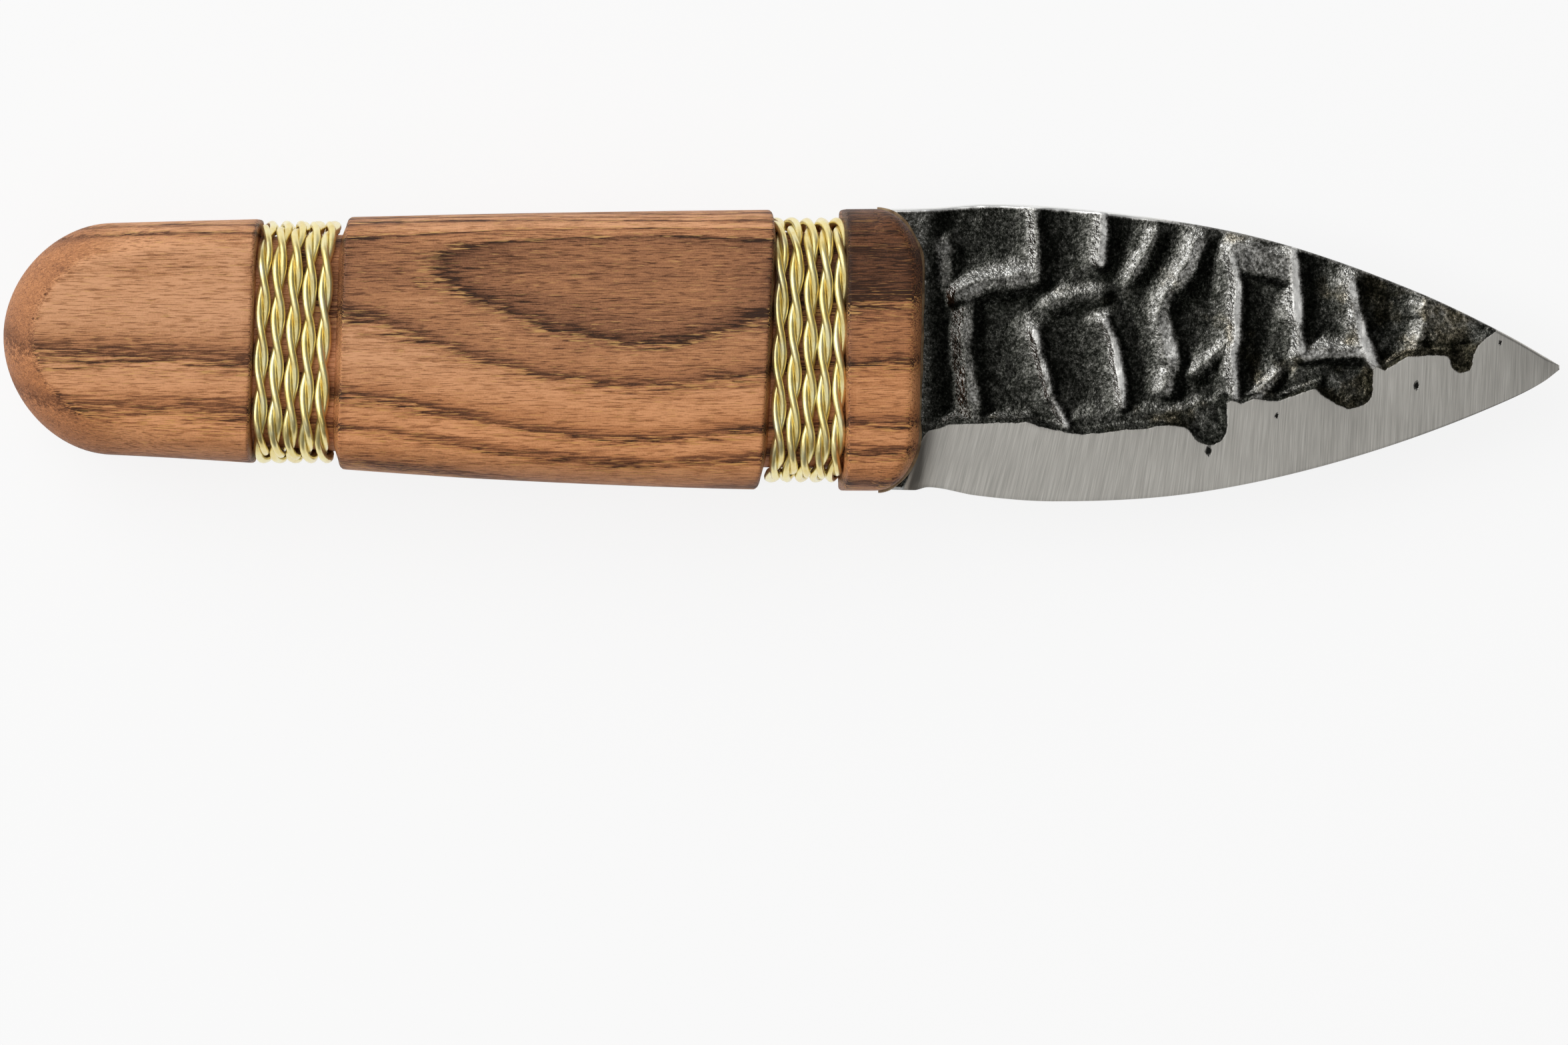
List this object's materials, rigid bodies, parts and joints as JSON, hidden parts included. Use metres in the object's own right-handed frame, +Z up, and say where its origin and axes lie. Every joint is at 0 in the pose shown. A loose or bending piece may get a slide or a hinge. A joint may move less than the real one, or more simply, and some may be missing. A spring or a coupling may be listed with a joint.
{
  "type": "fixed-blade knife",
  "caption": "Small forged knife with a hammered blade, satin ground bevel and hidden tang in two walnut scales bound at each end with twisted brass wire.",
  "frame": {"origin": "centre of the bounding box in plan, on the plane the knife lies on", "axes": "+X from butt to tip, +Y from cutting edge to spine, +Z up from the face it lies on"},
  "size_m": [0.16, 0.0306, 0.018],
  "materials": {
    "hammered_steel": "dark forge scale in the hammer dents, satin ground bevel",
    "walnut": "oiled, open-pored walnut",
    "cured_epoxy": "amber cured epoxy",
    "brass_wire": "drawn satin brass"
  },
  "bodies": {
    "root": {"blade": "hammered_steel", "left_scale": "walnut", "right_scale": "walnut", "tang_epoxy": "cured_epoxy", "rear_wire_strand_a": "brass_wire", "rear_wire_strand_b": "brass_wire", "front_wire_strand_a": "brass_wire", "front_wire_strand_b": "brass_wire"}
  },
  "joints": []
}
